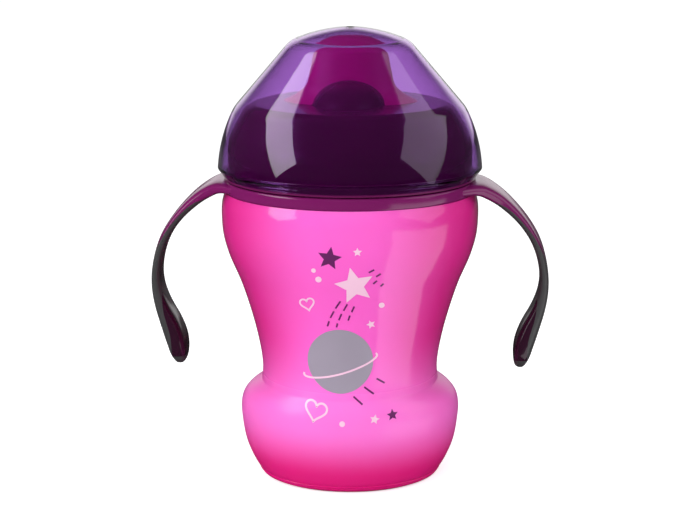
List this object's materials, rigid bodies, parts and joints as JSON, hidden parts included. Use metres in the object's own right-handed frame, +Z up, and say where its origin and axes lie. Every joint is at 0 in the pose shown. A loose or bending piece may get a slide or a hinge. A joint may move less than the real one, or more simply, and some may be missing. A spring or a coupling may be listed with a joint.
{
  "type": "sippy cup",
  "caption": "Toddler's two-handled training cup: pinched hourglass body, clamped handle ring, screw lid with soft spout and valve, and a see-through press-on overcap.",
  "frame": {"origin": "on the cup's axis, on the surface it stands on", "axes": "+Z up along the cup's axis; the handles lie along X; the printed front faces -Y and the spout stands a little towards +Y"},
  "size_m": [0.122, 0.0806, 0.1383],
  "materials": {
    "cup_pink": "gloss, faintly translucent polypropylene",
    "ring_purple": "gloss",
    "grip_grey": "soft-touch matt",
    "lid_purple": "gloss",
    "spout_magenta": "satin soft rubber",
    "valve_clear": "clear silicone",
    "gasket_clear": "translucent silicone",
    "overcap_violet": "clear tinted"
  },
  "bodies": {
    "cup": {"cup_body": "cup_pink", "handle_ring": "ring_purple", "grip_left": "grip_grey", "grip_right": "grip_grey"},
    "seal": {"gasket": "gasket_clear"},
    "lid": {"lid": "lid_purple", "spout": "spout_magenta", "valve": "valve_clear"},
    "overcap": {"overcap": "overcap_violet"}
  },
  "joints": [
    {"name": "lid_rise", "type": "slide", "parent": "cup", "child": "seal", "axis": [0, 0, 1], "range_m": [0, 0.0041]},
    {"name": "lid_turn", "type": "hinge", "parent": "seal", "child": "lid", "pos_m": [0, 0, 0.1], "axis": [0, 0, 1], "range_deg": [0, 360]},
    {"name": "overcap_lift", "type": "slide", "parent": "lid", "child": "overcap", "axis": [0, 0, 1], "range_m": [0, 0.055]}
  ],
  "couplings": [
    {"joint": "lid_rise", "follows": "lid_turn", "m_per_rad": 0.00063662}
  ]
}
